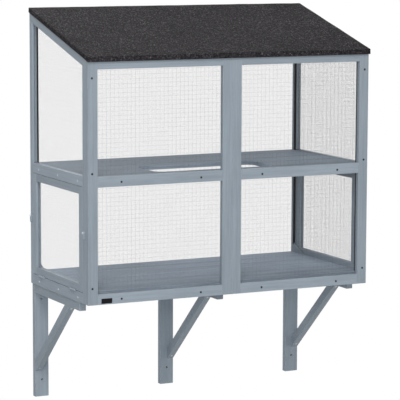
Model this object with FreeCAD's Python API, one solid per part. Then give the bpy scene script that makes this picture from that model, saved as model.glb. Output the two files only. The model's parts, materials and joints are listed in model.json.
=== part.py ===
"""Window box catio: a meshed timber cat enclosure hung outside a window on three brackets.

Built with x from the left side to the right, y from the front face back to the wall and z up from
the underside of the frames. On export everything is moved so that the origin lies on the wall,
in the middle of the four screw holes of the outer bracket legs.
"""
import FreeCAD, Part
import os
from math import atan, cos, radians, sin, tan

V = FreeCAD.Vector

# ---- overall sizes, mm ----
width = 900.0
depth = 429.0            # front face to wall
front_height = 685.5     # top of the front face, under the roof
roof_pitch = 15.25       # degrees, high at the wall

# ---- timber ----
strip = 30.0             # width of the front strips and of the middle and bottom rails
thick = 15.0             # thickness of every frame
front_top_rail = 23.5    # seen height of the front top rail
slope_rail = 23.5        # sloped rail of a side, square to its length
front_post = 23.0        # the two uprights of a side, seen from outside
back_post = 18.0
back_top_rail = 30.0
middle_rail_z = 332.0    # underside of the middle rails

# ---- saw grooves that hold the mesh ----
groove_depth = 6.0
wire = 0.6
mesh_pitch = 12.7        # every fifth wire of a mesh with ten to the inch
wire_bite = 5.5          # how far the wires reach into the groove
wire_clear = 0.1         # each side of the two layers of wire

# ---- side doors, hinged along their lower edge ----
door_clear = 0.5         # between the door and the edges of the boards
door_stile = 26.0
door_rail = 22.0
door_gap = 1.0           # round the stiles and over the top rail
hinge_gap = 1.5          # under the bottom rail, filled by the two leaves

# ---- butt hinges ----
hinge_length = 36.0
hinge_inset = 70.0       # end of door to middle of hinge
leaf = 0.7
leaf_reach = 12.0
barrel_r = 2.5
pin_r = 1.0
pin_fit = 0.05
round_sides = 12         # of knuckles, pins and pivots
knuckle_gap = 0.3
axis_out = 3.0           # hinge axis outside the frame's face
leaf_clear = 0.4         # between a leaf and the other leaf's knuckle

# ---- turn buttons ----
button_head_r = 5.0
button_tail_r = 3.6
button_length = 24.0
button_thick = 4.0
button_clear = 0.3
button_fit = 0.1
button_z = 203.0         # pivot
pivot_r = 1.6
pivot_head_r = 3.6
pivot_head = 2.0
pivot_crown_r = 2.2      # flat top of the pivot's head
pivot_crown = 1.2        # height of the head's slanted edge
pivot_grip = 11.0        # length in the post

# ---- floor and shelf ----
floor_z = 25.0
board = 12.0
floor_batten = 15.0      # width; they are floor_z high
shelf_drop = 2.0         # top of the shelf below the top of the middle rails
shelf_batten = (15.0, 18.0)   # width and height
batten_end = 2.0         # from the side shelf battens to the back posts
cutout = (238.0, 618.0)  # across the shelf
cutout_front = 57.0
cutout_back = 205.0
cutout_r = 28.0

# ---- rear stop laths, seal strips and corner gussets ----
lath = 5.0               # thickness, also of the seal and the gusset
lath_width = 12.0
front_seal = 5.0         # thickness of the seals behind the front frame
gusset = (66.0, 31.0)    # along the floor, up the wall

# ---- roof ----
roof_board = 11.0
felt = 2.8
roof_front = 3.0         # board in front of the frame

# ---- wall brackets ----
leg_width = 43.0
leg_thick = 18.0
leg_length = 343.5
leg_holes = (47.5, 292.5)   # below the frames
leg_hole_r = 3.0
bracket_inset = 4.0
arm_width = 20.0
arm_height = 27.0
arm_front = 72.0
strut_height = 25.0
strut_rise = 0.9         # slope of the strut
strut_foot = 266.0       # lower end of the strut, below the frames

# ---- blank label plate ----
label = (40.0, 3.2, 33.0, 14.0, 0.8)   # x, z, width, height, thickness

# ---- wood screws ----
screw_r = 1.6
screw_head_r = 3.6
screw_head = 2.2
screw_sides = 6
corner_screw_x = 13.0
corner_screw_z = (47.0, 371.0, 638.0)
rail_screw_x = (102.5, 351.5)
middle_screw_z = 345.0
bottom_screw_z = 13.0
side_screw_y = (75.0, 220.0, 365.0)
screw_length = 28.0
strut_screw_length = 32.0
strut_screw_at = (9.0, 12.0)   # in from the upper and the lower end of the strut

# ---- worked out ----
groove = 2 * (wire + wire_clear)
slope = tan(radians(roof_pitch))
middle_top = middle_rail_z + strip
floor_top = floor_z + board
shelf_top = middle_top - shelf_drop
shelf_z = shelf_top - board
door_thick = thick - door_clear
door_front = thick + front_post + door_gap
door_back = depth - back_post - door_gap
door_z = strip + hinge_gap
door_top = middle_rail_z - door_gap
axis_z = strip + hinge_gap / 2
hole_mid_z = -sum(leg_holes) / 2
shift = V(-width / 2, -depth, -hole_mid_z)

nodes = {}


def add(name, *shapes):
    nodes.setdefault(name, []).extend(shapes)


def box(x0, x1, y0, y1, z0, z1):
    return Part.makeBox(x1 - x0, y1 - y0, z1 - z0, V(x0, y0, z0))


def side_prism(points, x0, x1):
    """Outline in y and z, extruded from x0 to x1."""
    wire_ = Part.makePolygon([V(x0, y, z) for y, z in points + points[:1]])
    return Part.Face(wire_).extrude(V(x1 - x0, 0, 0))


def roof_z(y, drop=0.0):
    """Height of the roof's underside at y, less a drop."""
    return front_height + slope * y - drop


def mirrored(shape):
    return shape.mirror(V(width / 2, 0, 0), V(1, 0, 0))


def both(name, *shapes):
    """The same piece on the left and, mirrored, on the right."""
    add("left_" + name, *shapes)
    add("right_" + name, *[mirrored(s) for s in shapes])


def pair(name, *shapes):
    """Identical pieces of both sides as one group."""
    add(name, *shapes, *[mirrored(s) for s in shapes])


def cylinder(radius, length, base, direction):
    return Part.makeCylinder(radius, length, base, direction)


def turned(base, direction, profile, sides):
    """Turned piece with few sides, from radii at distances along the axis."""
    along = V(direction).normalize()
    u = along.cross(V(1, 0, 0) if abs(along.x) < 0.5 else V(0, 1, 0)).normalize()
    v = along.cross(u)
    angles = [radians(360 * (i + 0.5) / sides) for i in range(sides)]
    rings = []
    for r, at in profile:
        ring = [base + along * at + u * (r * cos(a)) + v * (r * sin(a)) for a in angles]
        rings.append(Part.makePolygon(ring + ring[:1]))
    return Part.makeLoft(rings, True, True)


def across(inner_r):
    """Corner radius of a hole with round_sides sides that clears a shaft of inner_r."""
    return inner_r / cos(radians(180 / round_sides))


def screw(base, direction, length):
    """Countersunk screw whose flat head lies at base."""
    profile = ((screw_head_r, 0), (screw_r, screw_head), (screw_r, length))
    return turned(base, direction, profile, screw_sides)


def bored(shape, screws):
    """The shape with the holes of those screws that reach into it."""
    for s in screws:
        if shape.BoundBox.intersect(s.BoundBox):
            shape = shape.cut(s)
    return shape


def spread(low, high):
    """Evenly pitched wires across an opening, centred in it."""
    count = int(round((high - low) / mesh_pitch))
    first = (low + high - (count - 1) * mesh_pitch) / 2
    return [first + i * mesh_pitch for i in range(count)]


# ---- fastener positions ----
front_screws = []
for x in (corner_screw_x, width - corner_screw_x):
    front_screws += [screw(V(x, 0, z), V(0, 1, 0), screw_length) for z in corner_screw_z]
for x in rail_screw_x:
    for xx in (x, width - x):
        for z in (middle_screw_z, bottom_screw_z):
            front_screws.append(screw(V(xx, 0, z), V(0, 1, 0), screw_length))
side_screws = [screw(V(0, y, z), V(1, 0, 0), screw_length)
               for y in side_screw_y for z in (middle_screw_z, bottom_screw_z)]
add("front_frame_screws", *front_screws)
pair("side_and_strut_screws", *side_screws)
side_screws += [mirrored(s) for s in side_screws]

# ---- front: two framed panels ----
plane = thick / 2        # the mesh lies in the middle of every frame
slot = (plane - groove / 2, plane + groove / 2)
top_rail_z = front_height - front_top_rail
panel = width / 2
upper = (middle_top, top_rail_z)
lower = (strip, middle_rail_z)


def front_stile(x, groove_right):
    """Upright strip whose top is bevelled to the roof."""
    body = side_prism([(0, 0), (thick, 0), (thick, roof_z(thick)), (0, roof_z(0))], x, x + strip)
    g = x + strip - groove_depth if groove_right else x
    cut = box(g, g + groove_depth, *slot, strip - groove_depth, top_rail_z + groove_depth)
    return bored(body.cut(cut), front_screws)


def front_rail(x0, x1, z0, z1, low, high):
    """Horizontal strip, grooved along its lower and upper edges where asked."""
    body = box(x0, x1, 0, thick, z0, z1)
    if low:
        body = body.cut(box(x0, x1, *slot, z0, z0 + groove_depth))
    if high:
        body = body.cut(box(x0, x1, *slot, z1 - groove_depth, z1))
    return bored(body, front_screws)


def front_mesh(x0, x1, z0, z1):
    """Upright wires in front, level wires welded behind them."""
    out = []
    for x in spread(x0, x1):
        out.append(box(x - wire / 2, x + wire / 2, plane - wire, plane, z0 - wire_bite, z1 + wire_bite))
    for z in spread(z0, z1):
        out.append(box(x0 - wire_bite, x1 + wire_bite, plane, plane + wire, z - wire / 2, z + wire / 2))
    return out


for side, x in (("left", 0.0), ("right", panel)):
    names = ("outer", "centre") if side == "left" else ("centre", "outer")
    a, b = x + strip, x + panel - strip
    add("front_%s_%s_stile" % (side, names[0]), front_stile(x, True))
    add("front_%s_%s_stile" % (side, names[1]), front_stile(b, False))
    top = side_prism([(0, top_rail_z), (thick, top_rail_z), (thick, roof_z(thick)), (0, roof_z(0))], a, b)
    top = top.cut(box(a, b, *slot, top_rail_z, top_rail_z + groove_depth))
    add("front_%s_top_rail" % side, top)
    add("front_%s_middle_rail" % side, front_rail(a, b, middle_rail_z, middle_top, True, True))
    add("front_%s_bottom_rail" % side, front_rail(a, b, 0, strip, False, True))
    add("front_%s_upper_mesh" % side, *front_mesh(a, b, *upper))
    add("front_%s_lower_mesh" % side, *front_mesh(a, b, *lower))

lx, lz, lw, lh, lt = label
add("blank_label_plate", box(lx, lx + lw, -lt, 0, lz, lz + lh))

# ---- sides: two posts, a sloped top rail, a middle and a bottom rail ----
rail_drop = slope_rail / cos(radians(roof_pitch))
post_y = (thick, thick + front_post)
back_y = (depth - back_post, depth)
opening_y = (post_y[1], back_y[0])
pivots = [(post_y[0] + post_y[1]) / 2, (back_y[0] + back_y[1]) / 2]


def pivot_screw(y):
    """Round-headed screw that carries a turn button."""
    out = button_clear + button_thick + button_clear
    top = V(-out - pivot_head, y, button_z)
    head = turned(top, V(1, 0, 0), ((pivot_crown_r, 0), (pivot_head_r, pivot_crown),
                                    (pivot_head_r, pivot_head)), round_sides)
    shank = turned(V(-out, y, button_z), V(1, 0, 0), ((pivot_r, 0), (pivot_r, out + pivot_grip)), round_sides)
    return head.fuse(shank)


pivot_screws = [pivot_screw(y) for y in pivots]
pair("button_screws", *pivot_screws)


def post(y0, y1, groove_back):
    """Upright of a side, cut to the slope under the top rail and grooved beside the upper mesh."""
    body = side_prism([(y0, 0), (y1, 0), (y1, roof_z(y1, rail_drop)), (y0, roof_z(y0, rail_drop))], 0, thick)
    g = (y1 - groove_depth, y1) if groove_back else (y0, y0 + groove_depth)
    cut = box(*slot, *g, middle_top - groove_depth, roof_z(y1))
    return bored(body.cut(cut), front_screws + pivot_screws)


both("front_post", post(*post_y, True))
both("back_post", post(*back_y, False))

rail = side_prism([(thick, roof_z(thick, rail_drop)), (depth, roof_z(depth, rail_drop)),
                   (depth, roof_z(depth)), (thick, roof_z(thick))], 0, thick)
rise = groove_depth / cos(radians(roof_pitch))
rail = rail.cut(side_prism([(opening_y[0] - groove_depth, roof_z(opening_y[0] - groove_depth, rail_drop)),
                            (opening_y[1] + groove_depth, roof_z(opening_y[1] + groove_depth, rail_drop)),
                            (opening_y[1] + groove_depth,
                             roof_z(opening_y[1] + groove_depth, rail_drop - rise)),
                            (opening_y[0] - groove_depth,
                             roof_z(opening_y[0] - groove_depth, rail_drop - rise))], *slot))
both("sloped_top_rail", rail)

rail = box(0, thick, *opening_y, middle_rail_z, middle_top)
rail = rail.cut(box(*slot, *opening_y, middle_top - groove_depth, middle_top))
both("middle_rail", bored(rail, side_screws))
both("bottom_rail", bored(box(0, thick, *opening_y, 0, strip), side_screws))

wires = []
for y in spread(*opening_y):
    wires.append(box(plane - wire, plane, y - wire / 2, y + wire / 2, middle_top - wire_bite,
                     roof_z(y, rail_drop) + wire_bite))
z = middle_top + mesh_pitch / 2
while z < roof_z(opening_y[1], rail_drop) - wire:
    # near the top the level wires run out into the groove of the sloped rail
    start = max(opening_y[0] - wire_bite, (z + wire - wire_bite - roof_z(0, rail_drop)) / slope)
    wires.append(box(plane, plane + wire, start, opening_y[1] + wire_bite, z - wire / 2, z + wire / 2))
    z += mesh_pitch
both("upper_mesh", *wires)

# ---- side doors ----
inner = (door_front + door_stile, door_back - door_stile)
inner_z = (door_z + door_rail, door_top - door_rail)
reach_z = (inner_z[0] - groove_depth, inner_z[1] + groove_depth)
stiles = [box(0, door_thick, door_front, inner[0], door_z, door_top)
          .cut(box(*slot, inner[0] - groove_depth, inner[0], *reach_z)),
          box(0, door_thick, inner[1], door_back, door_z, door_top)
          .cut(box(*slot, inner[1], inner[1] + groove_depth, *reach_z))]
rails = [box(0, door_thick, *inner, door_z, inner_z[0])
         .cut(box(*slot, *inner, inner_z[0] - groove_depth, inner_z[0])),
         box(0, door_thick, *inner, inner_z[1], door_top)
         .cut(box(*slot, *inner, inner_z[1], inner_z[1] + groove_depth))]
both("door_stiles", *stiles)
both("door_rails", *rails)
wires = [box(plane - wire, plane, y - wire / 2, y + wire / 2, inner_z[0] - wire_bite, inner_z[1] + wire_bite)
         for y in spread(*inner)]
wires += [box(plane, plane + wire, inner[0] - wire_bite, inner[1] + wire_bite, z - wire / 2, z + wire / 2)
          for z in spread(*inner_z)]
both("door_mesh", *wires)

# ---- butt hinges: knuckles in thirds, the middle one on the moving leaf; the pin is riveted in ----
third = hinge_length / 3
near = -axis_out + barrel_r + leaf_clear      # where a leaf starts beside the other leaf's knuckle


def hinge_leaf(y, moving):
    z0 = door_z - leaf if moving else strip
    out = box(near, leaf_reach, y - hinge_length / 2, y + hinge_length / 2, z0, z0 + leaf)
    spans = [(y - third / 2, y + third / 2)] if moving else [(y - hinge_length / 2, y - third / 2),
                                                             (y + third / 2, y + hinge_length / 2)]
    end = V(-axis_out, y - hinge_length / 2, axis_z)
    pin = turned(end, V(0, 1, 0), ((pin_r, 0), (pin_r, hinge_length)), round_sides)
    bore_r = across(pin_r + pin_fit)
    bore = turned(end, V(0, 1, 0), ((bore_r, 0), (bore_r, hinge_length)), round_sides)
    for y0, y1 in spans:
        if y0 > y - hinge_length / 2:
            y0 += knuckle_gap / 2
        if y1 < y + hinge_length / 2:
            y1 -= knuckle_gap / 2
        out = out.fuse(box(-axis_out, near, y0, y1, z0, z0 + leaf))
        out = out.fuse(turned(V(-axis_out, y0, axis_z), V(0, 1, 0), ((barrel_r, 0), (barrel_r, y1 - y0)),
                              round_sides))
    return (out.cut(bore) if moving else out.fuse(pin)).removeSplitter()


hinge_y = (door_front + hinge_inset, door_back - hinge_inset)
pair("hinge_fixed_leaves", *[hinge_leaf(y, False) for y in hinge_y])
both("hinge_moving_leaves", *[hinge_leaf(y, True) for y in hinge_y])

# ---- turn buttons, hanging from their pivots ----
def button(y):
    """Flat tapered button: a large round end at the pivot and a smaller one at the tail."""
    span = button_length - button_head_r - button_tail_r
    x = -button_clear - button_thick
    half = [radians(180 * i / (round_sides // 2)) for i in range(round_sides // 2 + 1)]
    points = [(y + button_head_r * cos(a), button_z + button_head_r * sin(a)) for a in half]
    points += [(y - button_tail_r * cos(a), button_z - span - button_tail_r * sin(a)) for a in half]
    hole_r = across(pivot_r + button_fit)
    hole = turned(V(x, y, button_z), V(1, 0, 0), ((hole_r, 0), (hole_r, button_thick)), round_sides)
    return side_prism(points, x, x + button_thick).cut(hole)


both("front_turn_button", button(pivots[0]))
both("back_turn_button", button(pivots[1]))

# ---- floor: battens under a board ----
x0, x1 = thick, width - thick
add("floor_board", box(x0, x1, thick, depth, floor_z, floor_top))
battens = [box(x0, x1, thick, thick + floor_batten, 0, floor_z),
           box(x0, x1, depth - floor_batten, depth, 0, floor_z),
           box(x0, x0 + floor_batten, thick + floor_batten, depth - floor_batten, 0, floor_z),
           box(x1 - floor_batten, x1, thick + floor_batten, depth - floor_batten, 0, floor_z)]
add("floor_battens", *[bored(b, front_screws + side_screws) for b in battens])

# ---- shelf with a rounded cut-out through which the cat climbs ----
shelf = box(x0, x1, thick, depth, shelf_z, shelf_top)
hole = box(*cutout, cutout_front, cutout_back, shelf_z, shelf_top)
corners = [e for e in hole.Edges if abs(e.Length - board) < 1e-6]
add("shelf_board", shelf.cut(hole.makeFillet(cutout_r, corners)))
wide, high = shelf_batten
z0 = shelf_z - high
battens = [box(x0, x1, thick, thick + wide, z0, shelf_z),
           box(x0, x0 + wide, thick + wide, depth - back_post - batten_end, z0, shelf_z)]
battens.append(mirrored(battens[1]))
add("shelf_battens", *[bored(b, front_screws + side_screws) for b in battens])

# ---- rear: top rail, stop laths, seal strips and gussets ----
rail_y = depth - thick
rail_z = roof_z(rail_y) - back_top_rail
add("back_top_rail", side_prism([(rail_y, rail_z), (depth, rail_z), (depth, roof_z(depth)),
                                 (rail_y, roof_z(rail_y))], x0, x1))
along, up = gusset
lath_y = depth - lath_width
seal = lath_y - back_y[0]
inside = (thick, thick + lath)


def brace_z(y, above=0.0):
    """Height of the gusset's sloping edge at y."""
    return floor_top + (y - depth + along) * up / along + above


pair("corner_gussets", side_prism([(depth, floor_top), (depth, brace_z(depth)),
                                   (depth - along, floor_top)], *inside))
pair("rear_stop_laths",
     side_prism([(lath_y, brace_z(lath_y)), (depth, brace_z(depth)), (depth, shelf_z), (lath_y, shelf_z)],
                *inside),
     box(*inside, lath_y, depth, shelf_top, rail_z))
over = seal / cos(atan(up / along))    # the lower seal turns and runs down along the gusset
pair("seal_strips",
     side_prism([(depth - along - over * along / up, floor_top), (depth - along, floor_top),
                 (lath_y, brace_z(lath_y)), (lath_y, shelf_z), (back_y[0], shelf_z),
                 (back_y[0], brace_z(back_y[0], over))], *inside),
     box(*inside, back_y[0], lath_y, shelf_top, rail_z))
behind = (thick, thick + front_seal)   # flush with the inner edges of the front stiles
pair("seal_strips",
     box(thick, strip, *behind, floor_top, z0),
     side_prism([(behind[0], shelf_top), (behind[1], shelf_top), (behind[1], roof_z(behind[1])),
                 (behind[0], roof_z(behind[0]))], thick, strip))

# ---- roof: a board, and felt folded down over its front and side edges ----
rv = roof_board / cos(radians(roof_pitch))
fv = felt / cos(radians(roof_pitch))
y0 = -roof_front
deck = side_prism([(y0, roof_z(y0)), (depth, roof_z(depth)), (depth, roof_z(depth) + rv),
                   (y0, roof_z(y0) + rv)], 0, width)
add("roof_board", deck)
y1 = y0 - felt
cover = side_prism([(y1, roof_z(y1)), (depth, roof_z(depth)), (depth, roof_z(depth) + rv + fv),
                    (y1, roof_z(y1) + rv + fv)], -felt, width + felt)
add("roofing_felt", cover.cut(deck))

# ---- wall brackets ----
leg_y = depth - leg_thick
strut_deg = atan(strut_rise)
strut_v = strut_height / cos(strut_deg)
low_y = leg_y - (strut_foot - arm_height) / strut_rise
high_y = leg_y - (strut_foot - strut_v - arm_height) / strut_rise
into = V(0, sin(strut_deg), cos(strut_deg))


def strut_screws(x):
    """One screw up into the arm and one back into the leg, square to the strut's lower face."""
    xm = x + arm_width / 2
    a, b = strut_screw_at
    top = V(xm, low_y + a, -arm_height - a * strut_rise)
    foot = V(xm, leg_y - b, -strut_foot + b * strut_rise)
    return [screw(top, into, strut_screw_length), screw(foot, into, strut_screw_length)]


def bracket(name, leg_x, arm_x):
    screws = strut_screws(arm_x)
    leg = box(leg_x, leg_x + leg_width, leg_y, depth, -leg_length, 0)
    for down in leg_holes:
        at = V(leg_x + leg_width / 2, leg_y, -down)
        leg = leg.cut(cylinder(leg_hole_r, leg_thick, at, V(0, 1, 0)))
    arm = box(arm_x, arm_x + arm_width, arm_front, leg_y, -arm_height, 0)
    strut = side_prism([(leg_y, -strut_foot), (leg_y, -strut_foot + strut_v), (high_y, -arm_height),
                        (low_y, -arm_height)], arm_x, arm_x + arm_width)
    add(name + "_bracket_leg", bored(leg, screws))
    add(name + "_bracket_arm", bored(arm, screws))
    add("bracket_struts", bored(strut, screws))
    add("side_and_strut_screws", *screws)


middle_arm_x = (width - arm_width) / 2
bracket("left", bracket_inset, bracket_inset)
bracket("middle", middle_arm_x + arm_width - leg_width, middle_arm_x)
bracket("right", width - bracket_inset - leg_width, width - bracket_inset - arm_width)

# ---- export ----
os.makedirs("parts", exist_ok=True)
for name, shapes in nodes.items():
    solids = []
    for s in shapes:
        s.translate(shift)
        solids += s.Solids
    whole = solids[0] if len(solids) == 1 else Part.makeCompound(solids)
    whole.exportStep("parts/%s.step" % name)
print(len(nodes), "nodes,", sum(len(s) for s in nodes.values()), "solids")
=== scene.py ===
"""Looks of the window box catio: painted timber, fine coated mesh, mineral felt, screws and hinges."""
import bpy
import bmesh
import json
from math import cos, pi, radians, sin
from mathutils import Matrix, Vector, noise

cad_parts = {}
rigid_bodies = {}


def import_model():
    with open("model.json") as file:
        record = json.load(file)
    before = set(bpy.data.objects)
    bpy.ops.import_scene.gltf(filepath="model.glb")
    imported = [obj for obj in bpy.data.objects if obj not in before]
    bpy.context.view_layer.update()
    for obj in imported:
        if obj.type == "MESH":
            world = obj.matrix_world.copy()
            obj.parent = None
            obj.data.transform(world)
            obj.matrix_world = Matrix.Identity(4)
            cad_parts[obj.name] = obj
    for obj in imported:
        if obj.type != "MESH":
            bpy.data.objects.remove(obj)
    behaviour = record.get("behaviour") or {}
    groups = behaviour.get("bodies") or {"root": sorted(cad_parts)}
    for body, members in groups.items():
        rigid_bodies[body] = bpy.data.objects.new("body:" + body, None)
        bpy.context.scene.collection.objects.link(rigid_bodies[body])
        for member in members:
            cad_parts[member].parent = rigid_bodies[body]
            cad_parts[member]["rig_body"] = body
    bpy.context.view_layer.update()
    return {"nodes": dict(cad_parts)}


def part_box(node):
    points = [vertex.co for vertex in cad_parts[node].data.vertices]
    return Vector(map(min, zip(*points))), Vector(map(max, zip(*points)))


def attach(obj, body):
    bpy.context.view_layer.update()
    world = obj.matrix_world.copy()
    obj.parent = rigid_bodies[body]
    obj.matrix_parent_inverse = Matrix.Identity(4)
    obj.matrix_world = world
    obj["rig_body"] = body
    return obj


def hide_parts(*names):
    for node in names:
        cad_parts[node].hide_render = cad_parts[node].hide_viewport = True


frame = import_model()
nodes = frame["nodes"]
scene = bpy.context.scene


# ---------- shader helpers ----------
class Mat:
    """A Principled material with short calls for its nodes."""

    def __init__(self, name, **values):
        self.mat = bpy.data.materials.new(name)
        self.mat.use_nodes = True
        self.tree = self.mat.node_tree
        self.bsdf = self.tree.nodes["Principled BSDF"]
        for key, value in values.items():
            self.bsdf.inputs[key.replace("_", " ").title().replace("Ior", "IOR")].default_value = value

    def node(self, kind, inputs=None, **props):
        n = self.tree.nodes.new("ShaderNode" + kind)
        for key, value in props.items():
            setattr(n, key, value)
        for key, value in (inputs or {}).items():
            if isinstance(value, bpy.types.NodeSocket):
                self.tree.links.new(value, n.inputs[key])
            else:
                n.inputs[key].default_value = value
        return n

    def link(self, socket, name):
        self.tree.links.new(socket, self.bsdf.inputs[name])

    def attribute(self, name):
        return self.node("Attribute", attribute_name=name)

    def scaled(self, vector, scale):
        return self.node("Mapping", {"Vector": vector, "Scale": scale}).outputs[0]

    def noise(self, vector, scale, detail=3.0, rough=0.5):
        return self.node("TexNoise", {"Vector": vector, "Scale": scale, "Detail": detail,
                                      "Roughness": rough}).outputs["Fac"]

    def ramp(self, fac, *stops):
        n = self.node("ValToRGB", {"Fac": fac})
        ends = n.color_ramp.elements
        while len(ends) < len(stops):
            ends.new(0.5)
        for e, (at, value) in zip(ends, stops):
            e.position = at
            e.color = (*value, 1) if isinstance(value, tuple) else (value, value, value, 1)
        return n.outputs["Color"]

    def mix(self, fac, a, b, how="MIX"):
        n = self.node("Mix", data_type="RGBA", blend_type=how)
        for socket, value in ((n.inputs[0], fac), (n.inputs[6], a), (n.inputs[7], b)):
            if isinstance(value, bpy.types.NodeSocket):
                self.tree.links.new(value, socket)
            elif isinstance(value, tuple):
                socket.default_value = (*value, 1)
            else:
                socket.default_value = value
        return n.outputs[2]

    def maths(self, how, a, b=0.0):
        n = self.node("Math", operation=how)
        for socket, value in zip(n.inputs, (a, b)):
            if isinstance(value, bpy.types.NodeSocket):
                self.tree.links.new(value, socket)
            else:
                socket.default_value = value
        return n.outputs[0]

    def bump(self, height, strength, distance):
        n = self.node("Bump", {"Height": height, "Strength": strength, "Distance": distance})
        self.link(n.outputs[0], "Normal")


def painted_timber(name, shine, figure, contrast, dark, light):
    """Blue-grey paint over sawn wood, with figure streaks to the metre across the grain.

    The attributes grain, tone and arris are set on each piece by timber(); tone is painted light and shade
    that lightens or darkens whole strips, board faces and sawn edges.
    """
    m = Mat(name, roughness=0.5, specular_ior_level=shine)
    grain = m.attribute("grain").outputs["Vector"]
    arris = m.attribute("arris").outputs["Fac"]
    tone = m.attribute("tone").outputs["Fac"]
    streak = m.noise(m.scaled(grain, (figure / 30, figure, figure)), 1.0, 4.0, 0.6)
    fibre = m.noise(m.scaled(grain, (figure / 5.4, figure * 6, figure * 6)), 1.0, 3.0, 0.6)
    cloud = m.noise(m.scaled(grain, (7, 11, 11)), 1.0, 2.0)
    base = m.ramp(cloud, (0.3, dark), (0.7, light))
    base = m.mix(contrast, base, m.ramp(streak, (0.35, 0.80), (0.6, 1.0)), "MULTIPLY")
    base = m.mix(contrast * 0.45, base, m.ramp(fibre, (0.4, 0.72), (0.65, 1.0)), "MULTIPLY")
    patchy = m.ramp(m.noise(m.scaled(grain, (40, 90, 90)), 1.0, 3.0), (0.42, 0.0), (0.62, 1.0))
    worn = m.maths("MULTIPLY", arris, patchy)
    base = m.mix(m.maths("MULTIPLY", worn, 0.35), base, (0.47, 0.51, 0.54))
    # painted light and shade: the tone attribute multiplies the base colour
    m.link(m.mix(1.0, base, tone, "MULTIPLY"), "Base Color")
    m.link(m.ramp(streak, (0.3, 0.42), (0.7, 0.58)), "Roughness")
    height = m.maths("ADD", m.maths("MULTIPLY", streak, 0.7), m.maths("MULTIPLY", fibre, 0.45))
    m.bump(height, 0.35, 0.0006)
    return m.mat


def mineral_felt():
    """Charcoal bitumen felt dressed with slate granules."""
    m = Mat("mineral_felt", roughness=0.9, specular_ior_level=0.06)
    co = m.node("TexCoord").outputs["Object"]
    cell = m.node("TexVoronoi", {"Vector": co, "Scale": 640.0}, feature="F1")
    grit = m.node("TexVoronoi", {"Vector": co, "Scale": 300.0}, feature="F1")
    cell_tone = m.node("SeparateColor", {"Color": cell.outputs["Color"]}).outputs[0]
    grit_tone = m.node("SeparateColor", {"Color": grit.outputs["Color"]}).outputs[0]
    fine = m.ramp(cell_tone, (0.0, (0.012, 0.011, 0.012)), (0.55, (0.028, 0.026, 0.028)),
                  (0.86, (0.045, 0.042, 0.046)), (0.97, (0.12, 0.11, 0.12)))
    big = m.ramp(grit_tone, (0.0, 0.45), (0.7, 1.05), (0.95, 2.1))
    base = m.mix(1.0, fine, big, "MULTIPLY")
    patch = m.ramp(m.noise(co, 9.0, 3.0), (0.35, 0.88), (0.65, 1.12))
    m.link(m.mix(1.0, base, patch, "MULTIPLY"), "Base Color")
    height = m.maths("SUBTRACT", 1.0, cell.outputs["Distance"])
    m.bump(height, 0.7, 0.0012)
    return m.mat


def galvanised(name, base, rough, metal):
    """Dull zinc with faint spangle."""
    m = Mat(name, metallic=metal, roughness=rough)
    co = m.node("TexCoord").outputs["Object"]
    cell = m.node("TexVoronoi", {"Vector": co, "Scale": 420.0}, feature="F1")
    tone = m.node("SeparateColor", {"Color": cell.outputs["Color"]}).outputs[1]
    low = tuple(v * 0.82 for v in base)
    high = tuple(min(1.0, v * 1.14) for v in base)
    m.link(m.ramp(tone, (0.0, low), (1.0, high)), "Base Color")
    m.link(m.ramp(m.noise(co, 90.0, 3.0), (0.3, rough * 0.8), (0.7, min(1.0, rough * 1.2))), "Roughness")
    m.bump(m.noise(co, 700.0, 2.0), 0.12, 0.0003)
    return m.mat


def coated(name, base, rough, grain_scale, strength, uneven=0.28, shine=0.4):
    """Rubber, plastic or enamel with a little texture."""
    m = Mat(name, roughness=rough, specular_ior_level=shine)
    co = m.node("TexCoord").outputs["Object"]
    spread = m.noise(co, grain_scale, 3.0)
    low = tuple(v * (1 - uneven) for v in base)
    high = tuple(v * (1 + uneven) for v in base)
    m.link(m.ramp(spread, (0.3, low), (0.7, high)), "Base Color")
    m.link(m.ramp(spread, (0.3, rough * 0.85), (0.7, min(1.0, rough * 1.12))), "Roughness")
    m.bump(m.noise(co, grain_scale * 6, 2.0), strength, 0.0004)
    return m.mat


TIMBER = painted_timber("painted_timber", 0.18, 150, 0.55, (0.304, 0.358, 0.411), (0.338, 0.396, 0.453))
BOARD = painted_timber("painted_board", 0.03, 42, 0.95, (0.302, 0.365, 0.438), (0.336, 0.403, 0.480))
FELT = mineral_felt()
PAINT = (0.305, 0.360, 0.410)
WIRE = coated("coated_wire", (0.045, 0.043, 0.045), 0.5, 400.0, 0.2)
ZINC = galvanised("zinc_plate", (0.62, 0.64, 0.66), 0.38, 0.85)
BLACK_SCREW = coated("black_screw", (0.012, 0.012, 0.013), 0.42, 300.0, 0.15, shine=0.2)
ENAMEL = coated("painted_metal", PAINT, 0.5, 120.0, 0.15, 0.06, 0.18)
SEAL = coated("seal_rubber", (0.004, 0.004, 0.005), 0.85, 500.0, 0.5, shine=0.08)
PLATE = coated("blank_plate", (0.004, 0.004, 0.005), 0.45, 150.0, 0.1, shine=0.15)


# ---------- mesh helpers ----------
weld = 2e-6              # points closer than this are one
no_length = 1e-7         # shorter edges are taken out
flat_angle = radians(0.4)                     # faces this close to one plane are one face
sharp_angle = radians(25)                     # an edge with more than this is eased


def body_of(node):
    """Body that the CAD node belongs to."""
    return nodes[node]["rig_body"]


def place(name, bm, mat, node_names, smooth=40):
    """A finished piece that stands for the CAD nodes named and rides on their body."""
    mesh = bpy.data.meshes.new(name)
    bmesh.ops.dissolve_degenerate(bm, dist=no_length, edges=bm.edges)
    bm.to_mesh(mesh)
    bm.free()
    mesh.materials.append(mat)
    o = bpy.data.objects.new(name, mesh)
    scene.collection.objects.link(o)
    for p in mesh.polygons:
        p.use_smooth = True
    mesh.set_sharp_from_angle(angle=radians(smooth))
    # large faces stay flat up to their eased arrises and round their screw holes
    flat = o.modifiers.new("flat_faces", "WEIGHTED_NORMAL")
    flat.keep_sharp = True
    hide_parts(*node_names)
    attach(o, body_of(node_names[0]))


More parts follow.
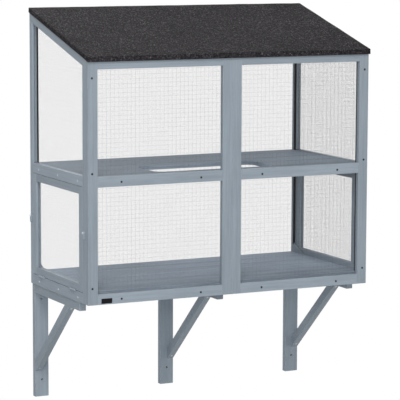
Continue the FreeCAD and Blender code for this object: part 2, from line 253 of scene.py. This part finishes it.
def islands(bm):
    """Groups of joined vertices, always in the same order."""
    seen, groups = set(), []
    for first in bm.verts:
        if first in seen:
            continue
        seen.add(first)
        group = [first]
        for v in group:      # the group grows while it is walked through
            for e in v.link_edges:
                w = e.other_vert(v)
                if w not in seen:
                    seen.add(w)
                    group.append(w)
        groups.append(group)
    return sorted(groups, key=lambda g: tuple(round(c, 5) for c in min(v.co.to_tuple() for v in g)))


def linked(group, kind):
    """The edges or faces, as kind says, at a group's vertices: each once, always in the same order."""
    return list(dict.fromkeys(item for v in group for item in getattr(v, kind)))


def order_faces(bm):
    """Faces sorted by their middles, since a plane cut leaves them in another order at every run."""
    ordered = sorted(bm.faces, key=lambda f: f.calc_center_median().to_tuple())
    rank = {f: i for i, f in enumerate(ordered)}
    bm.faces.sort(key=lambda f: rank[f])


def clean(node):
    """The CAD node's mesh with welded points and whole flat faces; solids that touch stay apart."""
    bm = bmesh.new()
    bm.from_mesh(nodes[node].data)
    bmesh.ops.remove_doubles(bm, verts=bm.verts, dist=weld)
    shared = [e for e in bm.edges if len(e.link_faces) > 2]
    if shared:
        bmesh.ops.split_edges(bm, edges=shared)
        for group in islands(bm):
            bmesh.ops.remove_doubles(bm, verts=group, dist=weld)
    bmesh.ops.dissolve_limit(bm, angle_limit=flat_angle, verts=bm.verts, edges=bm.edges)
    bm.normal_update()
    return bm


def long_way(group):
    """Unit direction of a group's longest edge, the same way round for parallel pieces."""
    best = max(linked(group, "link_edges"), key=lambda e: e.calc_length())
    d = (best.verts[0].co - best.verts[1].co).normalized()
    return d if d.dot(Vector((1, 1.1, 1.2))) > 0 else -d


def chamfer(bm, width, segments, shortest=0.008):
    """Eased arrises on every sharp edge that is long enough; returns the new faces."""
    edges = [e for e in bm.edges if len(e.link_faces) == 2 and e.calc_length() > shortest
             and e.calc_face_angle(0) > sharp_angle]
    return bmesh.ops.bevel(bm, geom=edges, offset=width, offset_type="OFFSET", segments=segments,
                           profile=0.5, affect="EDGES", clamp_overlap=True)["faces"]


def timber(node, width):
    """Painted strips or boards with eased arrises, each with a grain direction of its own and a tone of
    painted light and shade from the board and strip tables.
    """
    bm = clean(node)
    grain = bm.verts.layers.float_vector.new("grain")
    tone = bm.faces.layers.float.new("tone")
    arris = bm.faces.layers.float.new("arris")
    # painted light and shade: board faces and sawn edges get their own brightness multipliers
    face_painted_light, edge_painted_light = board_painted_light.get(node, (1.0, 1.0))
    # painted light and shade: whole strips drawn lighter or darker by the table below
    own_painted_light = strip_painted_light.get(node, (1.0,))
    for i, group in enumerate(islands(bm)):
        d = long_way(group)
        side = d.cross(Vector((0, 0, 1)) if abs(d.z) < 0.7 else Vector((1, 0, 0))).normalized()
        up = d.cross(side)
        # every solid lies in a stretch of the grain of its own
        seed = sum(ord(c) for c in node) * 0.37 + i * 1.9
        for v in group:
            v[grain] = Vector((v.co.dot(d) + seed, v.co.dot(side) + seed * 0.7, v.co.dot(up)))
        # painted light and shade: board faces, sawn edges and whole strips drawn lighter or darker
        for f in linked(group, "link_faces"):
            f[tone] = (face_painted_light if abs(f.normal.z) > 0.5 else edge_painted_light) * own_painted_light[i % len(own_painted_light)]
    for f in chamfer(bm, width, 2):
        f[arris] = 1.0
    place(node + "_timber", bm, BOARD if node in board_painted_light else TIMBER, [node], 35)


# ---------- screens ----------
thread_sides = 6
heavy_every = 5                               # a CAD wire stands for this many threads
front_thread = (0.00024, 0.00050, 0.00017)    # width, width of a heavy one, thickness
side_thread = (0.00021, 0.00034, 0.00006)
shortest_thread = 0.004
runs_this_way = 10                            # times longer than wide
layer_share = 0.45                            # of the thickness, from the middle of the sheet to a layer


def thread_bar(bm, a, b, flat, thread):
    """Closed flattened thread from a to b, thin along the axis numbered flat."""
    out = Vector((0, 0, 0))
    out[flat] = 1
    side = (b - a).normalized().cross(out)
    angles = [2 * pi * (k + 0.5) / thread_sides for k in range(thread_sides)]
    rings = [[bm.verts.new(p + side * (cos(t) * thread[0] / 2) + out * (sin(t) * thread[1] / 2))
              for t in angles] for p in (a, b)]
    for k in range(thread_sides):
        n = (k + 1) % thread_sides
        bm.faces.new((rings[0][k], rings[0][n], rings[1][n], rings[1][k]))
    bm.faces.new(rings[0][::-1])
    bm.faces.new(rings[1])


def screen(node):
    """Fine coated mesh, ten threads to the inch, every fifth a heavier one where the node has a wire."""
    src = clean(node)
    boxes = []
    for g in islands(src):
        boxes.append([Vector([pick(v.co[k] for v in g) for k in range(3)]) for pick in (min, max)])
    src.free()
    flat = 1 if node.startswith("front") else 0
    light, heavy, thin = front_thread if flat else side_thread
    low = Vector([min(lo[k] for lo, hi in boxes) for k in range(3)])
    high = Vector([max(hi[k] for lo, hi in boxes) for k in range(3)])
    bm = bmesh.new()
    for long, across, layer in ((2, 1 - flat, -1), (1 - flat, 2, 1)):
        wires = []
        for lo, hi in boxes:
            if hi[long] - lo[long] > runs_this_way * (hi[across] - lo[across]):
                wires.append(((lo[across] + hi[across]) / 2, lo[long], hi[long]))
        wires.sort()
        # threads are counted from the first wire, with some tried beyond both ends of the row
        for n in range(-heavy_every - 1, heavy_every * len(wires) + 2):
            i = min(max(n // heavy_every, 0), len(wires) - 2)
            t = n / heavy_every - i
            at, start, end = (p + (q - p) * t for p, q in zip(wires[i], wires[i + 1]))
            if low[across] < at < high[across] and end - start > shortest_thread:
                a = (low + high) / 2
                a[flat] += layer * thin * layer_share
                a[across] = at
                b = a.copy()
                a[long], b[long] = start, end
                thread_bar(bm, a, b, flat, (light if n % heavy_every else heavy, thin))
    bmesh.ops.recalc_face_normals(bm, faces=bm.faces)
    place(node + "_threads", bm, WIRE, [node], 60)


# ---------- screws ----------
head_r = 0.0036
head_deep = 0.0022
shank_r = 0.0016
screw_long = 0.020
screw_sides = 24
dish = 0.0003                                 # of the head's middle
cross = (0.0016, 0.00035, 0.52, 0.22)         # depth, half width, then half lengths in head_r, top and bottom
cross_above = 0.0006                          # how far the cutter stands over the head
turn_between = 2.399                          # radians from one screw's cross to the next
same_end = 1e-5                               # points this close along the shank share an end


def cross_cutter():
    """Two crossed tapered bars that cut the recess."""
    deep, half_wide, upper, lower = cross
    bm = bmesh.new()
    for turn in (0, pi / 2):
        rows = []
        for z, half in ((cross_above, head_r * upper), (-dish - deep, head_r * lower)):
            corners = ((half, half_wide), (-half, half_wide), (-half, -half_wide), (half, -half_wide))
            rows.append([bm.verts.new(Matrix.Rotation(turn, 3, "Z") @ Vector((x, y, z)))
                         for x, y in corners])
        for k in range(4):
            n = (k + 1) % 4
            bm.faces.new((rows[0][n], rows[0][k], rows[1][k], rows[1][n]))
        bm.faces.new(rows[0])
        bm.faces.new(rows[1][::-1])
    bmesh.ops.recalc_face_normals(bm, faces=bm.faces)
    return bm


def screw_body():
    """Countersunk head and shank, turned round Z, head at the origin, pointing along -Z."""
    profile = [(0.0001, -dish), (head_r * 0.90, -0.0002), (head_r * 0.97, -0.00035),
               (shank_r, -head_deep), (shank_r, -screw_long)]
    bm = bmesh.new()
    angles = [2 * pi * k / screw_sides for k in range(screw_sides)]
    rings = [[bm.verts.new((r * cos(t), r * sin(t), z)) for t in angles] for r, z in profile]
    for one, two in zip(rings, rings[1:]):
        for k in range(screw_sides):
            n = (k + 1) % screw_sides
            bm.faces.new((one[k], two[k], two[n], one[n]))
    bm.faces.new(rings[0])
    bm.faces.new(rings[-1][::-1])
    return bm


def screw_form():
    """Mesh of one screw with a cross recess."""
    made = []
    for name, bm in (("screw_form", screw_body()), ("screw_cut", cross_cutter())):
        o = bpy.data.objects.new(name, bpy.data.meshes.new(name))
        bm.to_mesh(o.data)
        bm.free()
        scene.collection.objects.link(o)
        made.append(o)
    body, cutter = made
    recess = body.modifiers.new("recess", "BOOLEAN")
    recess.operation = "DIFFERENCE"
    recess.object = cutter
    recess.solver = "EXACT"
    recess.use_self = True
    form = bpy.data.meshes.new_from_object(body.evaluated_get(bpy.context.evaluated_depsgraph_get()))
    for o in made:
        bpy.data.objects.remove(o)
    return form


def screws(node, form, mat):
    """A detailed screw in place of each of the node's, its cross turned on from the one before."""
    src = clean(node)
    bm = bmesh.new()
    for i, g in enumerate(islands(src)):
        ends = []
        d = long_way(g)
        along = [v.co.dot(d) for v in g]
        for want in (min(along), max(along)):
            ring = [v.co for v, t in zip(g, along) if abs(t - want) < same_end]
            mid = sum(ring, Vector()) / len(ring)
            ends.append((max((c - mid).length for c in ring), mid))
        head = max(ends, key=lambda e: e[0])
        tip = min(ends, key=lambda e: e[0])
        out = (head[1] - tip[1]).normalized()
        turn = out.to_track_quat("Z", "Y").to_matrix().to_4x4() @ Matrix.Rotation(i * turn_between, 4, "Z")
        start = len(bm.verts)
        bm.from_mesh(form)
        bm.verts.ensure_lookup_table()
        fresh = bm.verts[start:]
        bmesh.ops.transform(bm, matrix=Matrix.Translation(head[1]) @ turn, verts=fresh)
    src.free()
    place(node + "_detail", bm, mat, [node], 30)


# ---------- pieces ----------
strip_arris = 0.0008
door_arris = 0.0004
bracket_arris = 0.0012
timber_words = ("stile", "rail", "post", "batten", "board", "lath", "gusset", "_leg", "_arm", "strut")
board_painted_light = {"shelf_board": (0.80, 1.35), "floor_board": (1.10, 1.10)}    # painted light and shade for boards, on faces and sawn edges: the shelf face darker, its shaded sawn edges lighter, the floor lighter
# painted light and shade: how much lighter or darker each strip is drawn, by solid where a node has several;
# strips in shade at the back and inside are lifted most
strip_painted_light = {"front_left_outer_stile": (0.98,), "front_left_bottom_rail": (1.07,),
              "front_right_middle_rail": (1.08,), "front_right_bottom_rail": (1.10,),
              "left_back_post": (1.14,), "left_middle_rail": (1.12,), "left_bottom_rail": (1.07,),
              "left_door_stiles": (1.02, 1.13), "right_back_post": (1.15,), "right_door_stiles": (1.05, 1.13),
              "left_bracket_leg": (1.03,), "middle_bracket_leg": (1.06,), "right_bracket_leg": (1.08,)}
for name in list(nodes):
    if "mesh" in name:
        screen(name)
    elif "screw" not in name and any(word in name for word in timber_words):
        if "bracket" in name:
            timber(name, bracket_arris)
        elif "door" in name:
            timber(name, door_arris)
        else:
            timber(name, strip_arris)

one_screw = screw_form()
screws("front_frame_screws", one_screw, BLACK_SCREW)
screws("side_and_strut_screws", one_screw, ZINC)


def small(node, mat, width, shortest, segments=2):
    """Hardware with its edges longer than shortest eased by width."""
    bm = clean(node)
    chamfer(bm, width, segments, shortest)
    place(node + "_detail", bm, mat, [node])


for name in nodes:
    if "turn_button" in name:
        small(name, ENAMEL, width=0.0005, shortest=0.002)
small("button_screws", ZINC, width=0.0002, shortest=0.0011, segments=1)
for name in ("hinge_fixed_leaves", "left_hinge_moving_leaves", "right_hinge_moving_leaves"):
    small(name, ENAMEL, width=0.0002, shortest=0.003, segments=1)


seal_arris = 0.0006
near_wall = -0.05        # seals that reach behind this are the rear ones
beside_face = 0.00002    # keeps the cut out of the seal's own face


def seals():
    """Black seals; what runs down along the gussets is painted over with them."""
    for painted in (False, True):
        bm = clean("seal_strips")
        rear = [g for g in islands(bm) if max(v.co.y for v in g) > near_wall]
        foot_start = max(min(v.co.y for v in g) for g in rear) - beside_face
        wanted = [v for g in rear for v in g]
        if painted:
            kept = set(wanted)
            bmesh.ops.delete(bm, geom=[v for v in bm.verts if v not in kept], context="VERTS")
        geom = wanted + linked(wanted, "link_edges") + linked(wanted, "link_faces")
        cut = bmesh.ops.bisect_plane(bm, geom=geom, plane_co=(0, foot_start, 0), dist=1e-6,
                                     plane_no=(0, -1, 0), clear_outer=not painted, clear_inner=painted)
        rim = [e for e in cut["geom_cut"] if isinstance(e, bmesh.types.BMEdge)]
        bmesh.ops.holes_fill(bm, edges=rim)
        order_faces(bm)
        bmesh.ops.recalc_face_normals(bm, faces=bm.faces)
        chamfer(bm, seal_arris, 2, 0.003)
        if painted:
            place("painted_seal_feet", bm, ENAMEL, ["seal_strips"])
        else:
            place("seal_strips_detail", bm, SEAL, ["seal_strips"])


seals()
small("blank_label_plate", PLATE, width=0.0003, shortest=0.003)


fold_round = 0.0016
felt_grid = 0.03         # spacing of the cuts that let the felt lie uneven
front_lip = (0.0035, 0.0025)                  # depth and height of the front fold's lower edge
fold_drop = 0.0012       # how much lower that edge hangs than the CAD's
end_fold = 0.0005        # depth of the faces at both ends that lie uneven too
waves = ((11.0, 0.0007), (34.0, 0.0003))      # how often in a metre, and how high


def roof_felt():
    """Felt with rounded folds, cut fine enough to lie a little uneven."""
    bm = clean("roofing_felt")
    chamfer(bm, fold_round, 3)
    lo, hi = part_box("roofing_felt")
    for axis in (0, 1):
        n = int((hi[axis] - lo[axis]) / felt_grid)
        for i in range(1, n):
            at = Vector((0, 0, 0))
            at[axis] = lo[axis] + (hi[axis] - lo[axis]) * i / n
            normal = Vector((0, 0, 0))
            normal[axis] = 1
            bmesh.ops.bisect_plane(bm, geom=bm.verts[:] + bm.edges[:] + bm.faces[:], plane_co=at,
                                   plane_no=normal)
    order_faces(bm)
    bm.normal_update()
    for v in bm.verts:
        if v.co.y < lo.y + front_lip[0] and v.co.z < lo.z + front_lip[1]:
            v.co.z -= fold_drop
        if v.normal.z > 0.2 or v.co.x < lo.x + end_fold or v.co.x > hi.x - end_fold:
            v.co += v.normal * sum(noise.noise(v.co * often) * high for often, high in waves)
    place("roofing_felt_sheet", bm, FELT, ["roofing_felt"], 35)


roof_felt()

# ---------- stage ----------
floor_z = -3.7
floor_half = 30.0
glow_from = 0.8          # this far from its middle the floor starts to turn white
glow_to = 2.6            # and from here on it is white
studio_light = 0.2       # of the white that the camera sees
lamp_size = (2.6, 2.6)

bm = bmesh.new()
bmesh.ops.create_grid(bm, x_segments=4, y_segments=4, size=floor_half)
mesh = bpy.data.meshes.new("floor")
bm.to_mesh(mesh)
bm.free()
floor = bpy.data.objects.new("floor", mesh)
floor.location = (0, 0, floor_z)
scene.collection.objects.link(floor)
pale = Mat("pale_floor", roughness=0.9)
pale.bsdf.inputs["Base Color"].default_value = (0.82, 0.82, 0.82, 1)
path = pale.node("LightPath")
seen = pale.maths("MAXIMUM", path.outputs["Is Camera Ray"],
                  pale.maths("MAXIMUM", path.outputs["Is Glossy Ray"], path.outputs["Is Transmission Ray"]))
place_on_floor = pale.node("TexCoord").outputs["Object"]
away = pale.node("VectorMath", {0: place_on_floor}, operation="LENGTH").outputs["Value"]
away = pale.node("MapRange", {"Value": away, "From Min": glow_from, "From Max": glow_to},
                 interpolation_type="SMOOTHSTEP").outputs[0]
glow = pale.node("Emission", {"Color": (1, 1, 1, 1), "Strength": 1.0})
white_part = pale.maths("MULTIPLY", seen, away)
blend = pale.node("MixShader", {0: white_part, 1: pale.bsdf.outputs[0], 2: glow.outputs[0]})
pale.tree.links.new(blend.outputs[0], pale.tree.nodes["Material Output"].inputs[0])
floor.data.materials.append(pale.mat)

world = bpy.data.worlds.new("studio")
scene.world = world
world.use_nodes = True
tree = world.node_tree
back = tree.nodes["Background"]
back.inputs["Color"].default_value = (1, 1, 1, 1)
rays = tree.nodes.new("ShaderNodeLightPath")
most = [tree.nodes.new("ShaderNodeMath") for _ in range(2)]
for n in most:
    n.operation = "MAXIMUM"
tree.links.new(rays.outputs["Is Camera Ray"], most[0].inputs[0])
tree.links.new(rays.outputs["Is Glossy Ray"], most[0].inputs[1])
tree.links.new(most[0].outputs[0], most[1].inputs[0])
tree.links.new(rays.outputs["Is Transmission Ray"], most[1].inputs[1])
level = tree.nodes.new("ShaderNodeMapRange")
level.inputs["To Min"].default_value = studio_light
level.inputs["To Max"].default_value = 1.0
tree.links.new(most[1].outputs[0], level.inputs["Value"])
tree.links.new(level.outputs[0], back.inputs["Strength"])


middle = Vector((0, -0.2, 0.5))               # of the object


def lamp(name, at, power):
    """Soft lamp that points at the middle of the object."""
    light = bpy.data.lights.new(name, "AREA")
    light.shape = "RECTANGLE"
    light.size, light.size_y = lamp_size
    light.energy = power
    o = bpy.data.objects.new(name, light)
    o.location = at
    o.rotation_euler = (middle - Vector(at)).to_track_quat("-Z", "Y").to_euler()
    scene.collection.objects.link(o)


lamp("key", (-2.6, -4.2, 5.0), 190)
lamp("fill", (-3.3, -4.4, 0.9), 117)
lamp("back", (0.0, 3.6, 3.4), 150)
lamp("right", (4.8, -2.4, 1.6), 72)

camera = bpy.data.cameras.new("camera")
camera.sensor_width = 36.0
camera.lens = 194.7
camera.clip_end = 200
eye = bpy.data.objects.new("camera", camera)
eye.location = (-2.8138, -5.9174, 1.2561)
eye.rotation_euler = (pi / 2 - 0.13088, -0.00342, -0.45841)
scene.collection.objects.link(eye)
scene.camera = eye
scene.view_settings.view_transform = "Standard"
